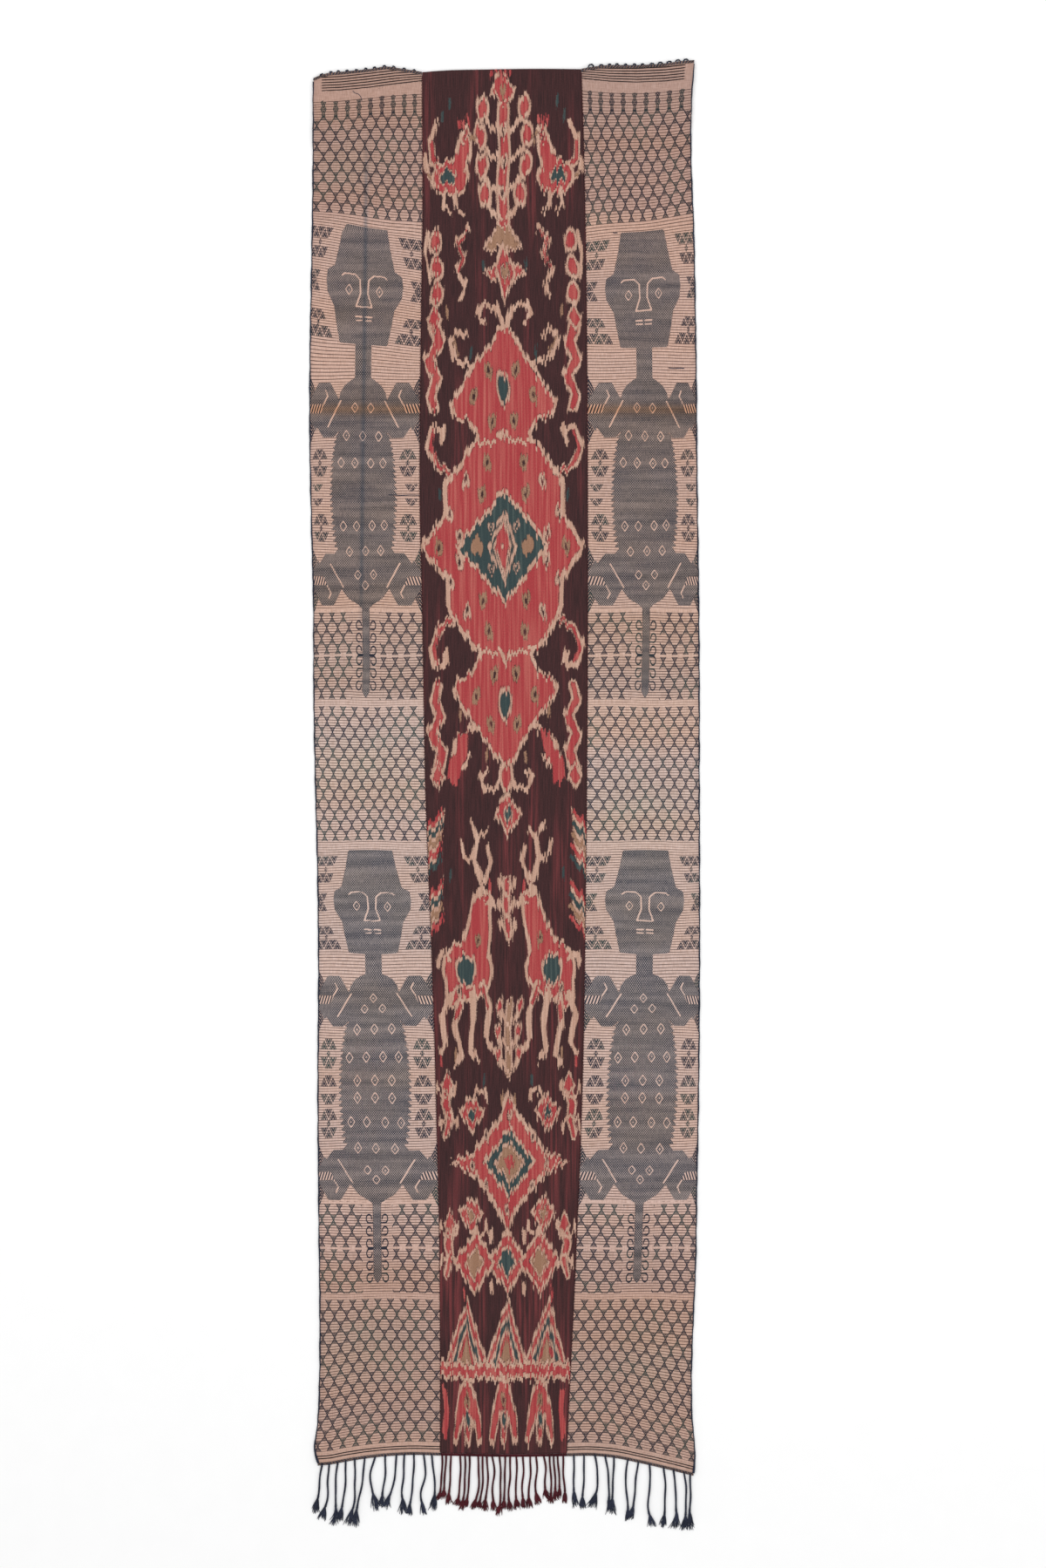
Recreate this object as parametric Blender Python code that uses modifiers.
"""An ikat woven cloth of three loom widths sewn edge to edge, laid out flat with its face up.

Metres, +Z up. The cloth lies on z = 0 with its length along Y and its loose fringe towards -Y.
Its far end is turned under: the middle width as a narrow flap, the outer widths by their fringe.
"""

import math

import bmesh
import bpy
import numpy as np

MM = 0.001

# Driving sizes, in millimetres
SIDE_THICK = 1.6  # the outer widths carry a second, floating warp
MIDDLE_THICK = 1.2
SEAM_GAP = 0.3
EDGE_STRIP = 4.0  # the twined rows that lock each end, which hold the fringe
ROWS = 48  # steps along a width
COLUMNS = 10  # steps across a width, and along each end's strip
CORD_BLUE = 3.0
CORD_MAROON = 3.6
TUFT_WIDEN = 1.7  # a loosened end against its cord
TUFT_LONG = 17.0
TIP_NARROW = 0.9
TURNED_CORD = 2.6
TURNED_LONG = 78.0
TURNED_LIFT = 3.2  # underside of the far end, where it lies on its turned cords
TURNED_EASE = 62.0  # length over which it comes back down
TURNED_CLEAR = 6.0  # how far past its turned cords the cloth stays lifted
SWELL_EASE = 60.0  # length over which the swells fade in past the turned cords
FLAP_LONG = 45.0
FLAP_STEPS = 3
BEND_STEPS = 6

# Outline rows: (along, across) for the long edges and (across, along) for the ends
OUTER_LEFT = (
    (1152, -307), (998, -307.5), (858, -309.5), (718, -312), (578, -312.5), (440, -310), (298, -306.5),
    (158, -306), (18, -303.5), (-122, -300), (-262, -298.5), (-472, -299.5), (-682, -298), (-822, -296.5),
    (-940, -297), (-1010, -300), (-1052, -304.5), (-1076, -298),
)
SEAM_LEFT = (
    (1161, -132.5), (928, -132), (788, -134), (606, -136), (480, -136.5), (320, -133), (158, -130),
    (18, -127.5), (-122, -122.5), (-262, -117), (-402, -112.5), (-542, -109), (-682, -105.5),
    (-822, -104), (-962, -103.5), (-1060, -103.5),
)
SEAM_RIGHT = (
    (1166, 123), (1040, 127), (928, 129.5), (780, 131.5), (620, 132.8), (450, 133.5), (298, 133.5),
    (158, 133), (18, 132), (-122, 130.5), (-262, 128.8), (-402, 126.5), (-542, 122.5), (-682, 117),
    (-822, 110.8), (-940, 105), (-1061, 99.5),
)
OUTER_RIGHT = (
    (1179, 304), (1124, 300), (1060, 298.5), (998, 299.5), (928, 302.5), (788, 305.5), (648, 307.5),
    (508, 308.5), (326, 311), (158, 312), (18, 312), (-122, 312.5), (-262, 312.5), (-472, 311),
    (-640, 308), (-760, 306), (-850, 302), (-930, 299.5), (-1000, 300.5), (-1060, 305), (-1092, 302.5),
)
TOP_LEFT = ((-307, 1151), (-292, 1157), (-253, 1162), (-214, 1166), (-190, 1169.5), (-165, 1166), (-132.5, 1161))
TOP_MIDDLE = ((-132.5, 1161), (-102, 1163.5), (-30, 1165.5), (60, 1166.5), (123, 1166))
TOP_RIGHT = ((123, 1166), (150, 1170.5), (215, 1172), (252, 1174), (285, 1178.5), (304, 1180))
BOTTOM_LEFT = ((-300, -1076), (-281, -1074.5), (-254, -1069.5), (-200, -1062), (-147, -1059), (-103.5, -1060))
BOTTOM_MIDDLE = ((-103.5, -1060), (0, -1062), (99.5, -1061))
BOTTOM_RIGHT = ((99.5, -1061), (140, -1060.5), (171, -1063), (222, -1073), (265, -1083), (303, -1092.5))

# Loose cords, one row each: across at the root, at a third, at two thirds and at the tip, then length
CORDS_LEFT = (
    (-293, -297, -299, -302.5, 76), (-282, -284, -285, -295, 90), (-268, -271.5, -271, -272.5, 98),
    (-255.5, -255.5, -259, -266, 96), (-240.5, -240.5, -241.5, -250, 104), (-225, -228, -235, -243, 108),
    (-207.5, -215.5, -213, -205.5, 84), (-192, -191.5, -195, -198.5, 82), (-174, -175.5, -181, -191.5, 86),
    (-161.5, -162, -165, -161, 94), (-145.5, -146.5, -149.5, -154, 98), (-130.5, -127, -134.5, -130, 96),
    (-117.5, -114, -112, -113.5, 88),
)
CORDS_MIDDLE = (
    (-100.5, -100.5, -102.5, -105.5, 74), (-94, -95, -97, -98, 70), (-86.5, -87, -88.5, -90.5, 80),
    (-71, -71, -72.5, -76.5, 82), (-63.5, -63.5, -65, -69, 88), (-56.5, -56.5, -58.5, -61.5, 84),
    (-43, -41.5, -42.5, -50, 86), (-36, -35, -36.5, -42.5, 86), (-29, -27, -28.5, -34.5, 88),
    (-20, -16.5, -20, -15.5, 88), (-8, -6.5, -7, -8, 96), (0.5, 0.5, -0.5, -0.5, 86),
    (8.5, 9, 6.5, 7.5, 88), (18.5, 19.5, 17.5, 20, 86), (29.5, 30, 28, 30.5, 84),
    (41, 41.5, 39, 38, 84), (50, 52, 49, 53, 78), (62.5, 66, 64.5, 65.5, 70),
    (72, 73.5, 75, 73.5, 78), (78.5, 80, 81.5, 81.2, 72), (85, 86.5, 88, 89, 68),
    (94, 94, 96, 97, 76),
)
CORDS_RIGHT = (
    (111.5, 111, 111, 110, 82), (127, 127.5, 126, 124, 86), (144.5, 149, 148, 140, 84),
    (161.5, 166, 167.5, 165.5, 88), (175.5, 174.5, 173, 172.5, 90), (198, 194, 197, 198, 98),
    (214.5, 210.5, 208, 205, 92), (232.5, 233.5, 230, 237, 100), (255.5, 258, 257, 255.5, 95),
    (270.5, 274.5, 275, 279, 93), (288, 291.5, 290.5, 290, 90), (297.5, 298.5, 297.5, 297, 86),
)
# Turned cords, one row each: across at the root, sideways to where it dives, how far it stands out
TURNED_LEFT = (
    (-296, 4, 2.2), (-281, 4, 2.4), (-269, 4, 2.6), (-255, 4, 2.4), (-240, 4, 2.0), (-225, 4, 2.8),
    (-211, 4, 2.8), (-195, 4, 2.4), (-180, 4, 2.0), (-163, 4, 1.8), (-147, 4, 1.8),
)
TURNED_RIGHT = (
    (134, 9, 5.5), (152, 6, 2.4), (166, 5, 2.4), (178, 5, 2.8), (192, 5, 2.2), (206, 5, 2.6),
    (219, 5, 2.2), (233, 7, 3.2), (246, 8, 5.0), (260, 8, 5.0), (274, 8, 5.2), (287, 8, 4.6),
)

# Soft swells of the laid cloth: across, along, half-lengths across and along, height
SWELLS = (
    (-222, 560, 62, 170, 1.6), (-205, 152, 90, 46, 2.2), (218, 152, 95, 46, 2.4), (-268, -700, 40, 120, 1.8),
    (262, 690, 40, 130, 2.0), (40, 720, 60, 190, 1.5), (215, -860, 62, 110, 1.8), (-30, -520, 48, 150, 1.4),
    (290, -250, 26, 150, 2.4), (-292, 250, 22, 150, 2.2), (206, 330, 50, 105, 1.2), (-185, -330, 55, 150, 1.3),
    (-15, -905, 62, 70, 1.3), (200, -470, 55, 90, 1.4), (-215, 920, 70, 60, 1.2), (80, 150, 44, 60, 1.0),
)


def through(rows, at):
    """A smooth curve through (station, value) rows, read at one or many stations."""
    stations, values = np.array(sorted(rows), float).T
    slopes = np.gradient(values, stations)
    at = np.clip(np.asarray(at, float), stations[0], stations[-1])
    piece = np.clip(np.searchsorted(stations, at) - 1, 0, len(stations) - 2)
    width = stations[piece + 1] - stations[piece]
    t = (at - stations[piece]) / width
    rise = (2 * t**3 - 3 * t**2 + 1) * values[piece] + (3 * t**2 - 2 * t**3) * values[piece + 1]
    lean = (t**3 - 2 * t**2 + t) * slopes[piece] + (t**3 - t**2) * slopes[piece + 1]
    return rise + width * lean


def ease(t):
    t = np.clip(t, 0, 1)
    return t * t * (3 - 2 * t)


def top_edge(x):
    rows = TOP_LEFT + TOP_MIDDLE[1:] + TOP_RIGHT[1:]
    return through(rows, x)


def swell_height(x, y):
    """How far the underside stands off the surface, away from the turned end."""
    height = np.zeros_like(x)
    for across, along, wide, long, tall in SWELLS:
        away = ((x - across) / wide) ** 2 + ((y - along) / long) ** 2
        height = height + tall * np.clip(1 - away, 0, None) ** 2
    return height


def lift(x, y):
    """Height of the underside: swells between the ends, and the far end lying on what is turned under it."""
    inward = top_edge(x) - y
    past_cords = inward - TURNED_LONG - TURNED_CLEAR
    turned = TURNED_LIFT * (1 - ease(past_cords / TURNED_EASE))
    return turned + swell_height(x, y) * ease(past_cords / SWELL_EASE)


def material(name, colour, roughness):
    made = bpy.data.materials.new(name)
    made.use_nodes = True
    shader = made.node_tree.nodes["Principled BSDF"]
    shader.inputs["Base Color"].default_value = (*colour, 1)
    shader.inputs["Roughness"].default_value = roughness
    shader.inputs["Metallic"].default_value = 0.0
    made.diffuse_color = (*colour, 1)
    return made


def placed_grid(name, across_steps, along_steps, place):
    """A grid primitive whose points go where place(u, v) says, u and v from 0 to 1."""
    made = bmesh.new()
    bmesh.ops.create_grid(made, x_segments=across_steps, y_segments=along_steps, size=0.5)
    for point in made.verts:
        point.co = place(point.co.x + 0.5, point.co.y + 0.5)
    mesh = bpy.data.meshes.new(name)
    made.to_mesh(mesh)
    made.free()
    return bpy.data.objects.new(name, mesh)


def thicken(piece, thick):
    solid = piece.modifiers.new("Thickness", "SOLIDIFY")
    solid.thickness = thick * MM
    solid.offset = 0
    solid.use_even_offset = True


def side_panel(name, left_rows, right_rows, top_rows, bottom_rows, shift_left, shift_right, finish):
    """An outer width: a sheet on the surface, ending short of the twined strip at each end."""
    short = EDGE_STRIP + SEAM_GAP
    left_end, right_end = top_rows[0][0], top_rows[-1][0]
    left_foot, right_foot = bottom_rows[0][0], bottom_rows[-1][0]

    def place(u, v):
        far = through(top_rows, left_end + u * (right_end - left_end)) - short
        near = through(bottom_rows, left_foot + u * (right_foot - left_foot)) + short
        y = near + v * (far - near)
        x_left = through(left_rows, y) + shift_left
        x_right = through(right_rows, y) + shift_right
        x = x_left + u * (x_right - x_left)
        return (x * MM, y * MM, (lift(x, y) + SIDE_THICK / 2) * MM)

    piece = placed_grid(name, COLUMNS, ROWS, place)
    thicken(piece, SIDE_THICK)
    piece.data.materials.append(finish)
    return piece


def middle_panel(name, finish):
    """The middle width, with its far end folded round and under as a narrow flap."""
    radius = (TURNED_LIFT + MIDDLE_THICK) / 2 - MIDDLE_THICK / 2
    rows = ROWS + BEND_STEPS + FLAP_STEPS
    bend_from = ROWS / rows
    bend_to = (ROWS + BEND_STEPS) / rows
    half_gap = SEAM_GAP / 2

    def place(u, v):
        along_top = TOP_MIDDLE[0][0] + u * (TOP_MIDDLE[-1][0] - TOP_MIDDLE[0][0])
        far = through(TOP_MIDDLE, along_top) - radius - MIDDLE_THICK / 2
        foot = BOTTOM_MIDDLE[0][0] + u * (BOTTOM_MIDDLE[-1][0] - BOTTOM_MIDDLE[0][0])
        near = through(BOTTOM_MIDDLE, foot) + EDGE_STRIP + SEAM_GAP
        if v <= bend_from + 1e-6:
            y = near + v / bend_from * (far - near)
            flat_y, z = y, None
        elif v <= bend_to + 1e-6:
            angle = math.pi * (v - bend_from) / (bend_to - bend_from)
            flat_y = far
            y = far + radius * math.sin(angle)
            z = MIDDLE_THICK / 2 + radius * (1 + math.cos(angle))
        else:
            flat_y = far
            y = far - FLAP_LONG * (v - bend_to) / (1 - bend_to)
            z = MIDDLE_THICK / 2
        x_left = through(SEAM_LEFT, flat_y) + half_gap
        x_right = through(SEAM_RIGHT, flat_y) - half_gap
        x = x_left + u * (x_right - x_left)
        if z is None:
            z = lift(x, y) + MIDDLE_THICK / 2
        return (x * MM, y * MM, z * MM)

    piece = placed_grid(name, COLUMNS, rows, place)
    thicken(piece, MIDDLE_THICK)
    piece.data.materials.append(finish)
    return piece


def edge_strip(name, rows, from_x, to_x, inward, thick, height):
    """The twined rows along an end: a narrow strip whose outer side is the end's own line."""

    def place(u, v):
        station = rows[0][0] + u * (rows[-1][0] - rows[0][0])
        y = through(rows, station) + inward * EDGE_STRIP * v
        x = min(max(station, from_x), to_x)
        return (x * MM, y * MM, (height + thick / 2) * MM)

    piece = placed_grid(name, COLUMNS, 1, place)
    thicken(piece, thick)
    return piece


def square_section(name, size):
    """A unit-high square profile that a cord's curve is drawn with."""
    curve = bpy.data.curves.new(name, "CURVE")
    curve.dimensions = "2D"
    line = curve.splines.new("POLY")
    line.points.add(3)
    half = size / 2 * MM
    for point, (x, y) in zip(line.points, ((-1, -1), (1, -1), (1, 1), (-1, 1))):
        point.co = (x * half, y * half, 0, 1)
    line.use_cyclic_u = True
    guide = bpy.data.objects.new(name, curve)
    guide.hide_render = True
    guide.display_type = "WIRE"
    guides.objects.link(guide)
    return guide


def cord_mesh(paths, section):
    """All the cords of a fringe as one mesh. A path's point is (x, y, z, widening), in millimetres."""
    joined = bmesh.new()
    for path in paths:
        curve = bpy.data.curves.new("cord", "CURVE")
        curve.dimensions = "3D"
        curve.twist_mode = "Z_UP"
        curve.bevel_mode = "OBJECT"
        curve.bevel_object = section
        curve.use_fill_caps = True
        line = curve.splines.new("POLY")
        line.points.add(len(path) - 1)
        for point, (x, y, z, widen) in zip(line.points, path):
            point.co = (x * MM, y * MM, z * MM, 1)
            point.radius = widen
        drawn = bpy.data.objects.new("cord", curve)
        bpy.context.scene.collection.objects.link(drawn)
        bpy.context.view_layer.update()
        mesh = bpy.data.meshes.new_from_object(drawn.evaluated_get(bpy.context.evaluated_depsgraph_get()))
        joined.from_mesh(mesh)
        bpy.data.objects.remove(drawn)
        bpy.data.meshes.remove(mesh)
    bmesh.ops.remove_doubles(joined, verts=joined.verts, dist=1e-5)
    bmesh.ops.recalc_face_normals(joined, faces=joined.faces)
    mesh = bpy.data.meshes.new("cords")
    joined.to_mesh(mesh)
    joined.free()
    cords = bpy.data.objects.new("cords", mesh)
    cords.hide_render = True
    cords.display_type = "WIRE"
    guides.objects.link(cords)
    return cords


def fuse(strip, cords, finish):
    """Joins the cords' roots into their strip, as one body."""
    join = strip.modifiers.new("Roots", "BOOLEAN")
    join.operation = "UNION"
    join.solver = "EXACT"
    join.object = cords
    strip.data.materials.append(finish)
    return strip


def loose_paths(cord_rows, edge_rows, cord):
    """Centre lines of loose cords that lie on the surface, with a widened tuft at each tip."""
    paths = []
    for root, third, two_thirds, tip, long in cord_rows:
        start = float(through(edge_rows, root)) + EDGE_STRIP / 2
        sway = ((0, root), (0.33, third), (0.66, two_thirds), (1, tip))
        tuft = 1 - TUFT_LONG / long
        plain = [(stop, 1.0) for stop in (0, 0.12, 0.33, 0.5, 0.66, tuft - 0.01)]
        loosened = [(tuft + 0.05, TUFT_WIDEN), ((1 + tuft) / 2, TUFT_WIDEN), (1, TIP_NARROW)]
        paths.append([
            (float(through(sway, stop)), start - long * stop, cord / 2 * widen, widen)
            for stop, widen in plain + loosened
        ])
    return paths


def turned_paths(cord_rows, edge_rows):
    """Centre lines of cords that leave the far end, turn sideways and run back under the cloth."""
    low = TURNED_CORD / 2
    high = TURNED_LIFT + SIDE_THICK / 2
    inside = EDGE_STRIP * 0.6
    paths = []
    for root, aside, out in cord_rows:
        leaves = float(through(edge_rows, root))
        dives = float(through(edge_rows, root + aside))
        loop = (
            (0, leaves - inside, high),
            (0.1, leaves + 0.5 * out, high),
            (0.45, leaves + out, (high + low) / 2),
            (0.85, dives + 0.6 * out, low),
            (1, dives - inside, low),
            (1.1, dives - 0.4 * TURNED_LONG, low),
            (0.9, dives - TURNED_LONG, low),
        )
        paths.append([(root + share * aside, y, z, 1) for share, y, z in loop])
    return paths


def build():
    left = side_panel("panel_left", OUTER_LEFT, SEAM_LEFT, TOP_LEFT, BOTTOM_LEFT, 0, -SEAM_GAP / 2, float_cloth)
    middle = middle_panel("panel_middle", ikat_cloth)
    right = side_panel(
        "panel_right", SEAM_RIGHT, OUTER_RIGHT, TOP_RIGHT, BOTTOM_RIGHT, SEAM_GAP / 2, 0, float_cloth
    )
    blue_section = square_section("section_blue", CORD_BLUE)
    maroon_section = square_section("section_maroon", CORD_MAROON)
    turned_section = square_section("section_turned", TURNED_CORD)
    gap = SEAM_GAP / 2
    fringes = (
        ("fringe_left", BOTTOM_LEFT, -300, -103.5 - gap, 1, SIDE_THICK, 0, blue_yarn,
         loose_paths(CORDS_LEFT, BOTTOM_LEFT, CORD_BLUE), blue_section),
        ("fringe_middle", BOTTOM_MIDDLE, -103.5 + gap, 99.5 - gap, 1, MIDDLE_THICK, 0, maroon_yarn,
         loose_paths(CORDS_MIDDLE, BOTTOM_MIDDLE, CORD_MAROON), maroon_section),
        ("fringe_right", BOTTOM_RIGHT, 99.5 + gap, 303, 1, SIDE_THICK, 0, blue_yarn,
         loose_paths(CORDS_RIGHT, BOTTOM_RIGHT, CORD_BLUE), blue_section),
        ("turned_fringe_left", TOP_LEFT, -307, -133, -1, SIDE_THICK, TURNED_LIFT, blue_yarn,
         turned_paths(TURNED_LEFT, TOP_LEFT), turned_section),
        ("turned_fringe_right", TOP_RIGHT, 123.5, 304, -1, SIDE_THICK, TURNED_LIFT, blue_yarn,
         turned_paths(TURNED_RIGHT, TOP_RIGHT), turned_section),
    )
    pieces = [left, middle, right]
    for name, rows, from_x, to_x, inward, thick, height, finish, paths, section in fringes:
        strip = edge_strip(name, rows, from_x, to_x, inward, thick, height)
        pieces.append(fuse(strip, cord_mesh(paths, section), finish))
    for piece in pieces:
        cloth.objects.link(piece)


for old in list(bpy.data.objects):
    bpy.data.objects.remove(old)
cloth = bpy.data.collections.new("ikat_cloth")
guides = bpy.data.collections.new("guides")
bpy.context.scene.collection.children.link(cloth)
bpy.context.scene.collection.children.link(guides)
float_cloth = material("float_warp_cotton", (0.40, 0.27, 0.20), 0.9)
ikat_cloth = material("ikat_cotton", (0.09, 0.03, 0.03), 0.9)
blue_yarn = material("indigo_cotton_cord", (0.04, 0.05, 0.09), 0.85)
maroon_yarn = material("maroon_cotton_cord", (0.10, 0.03, 0.04), 0.85)
build()
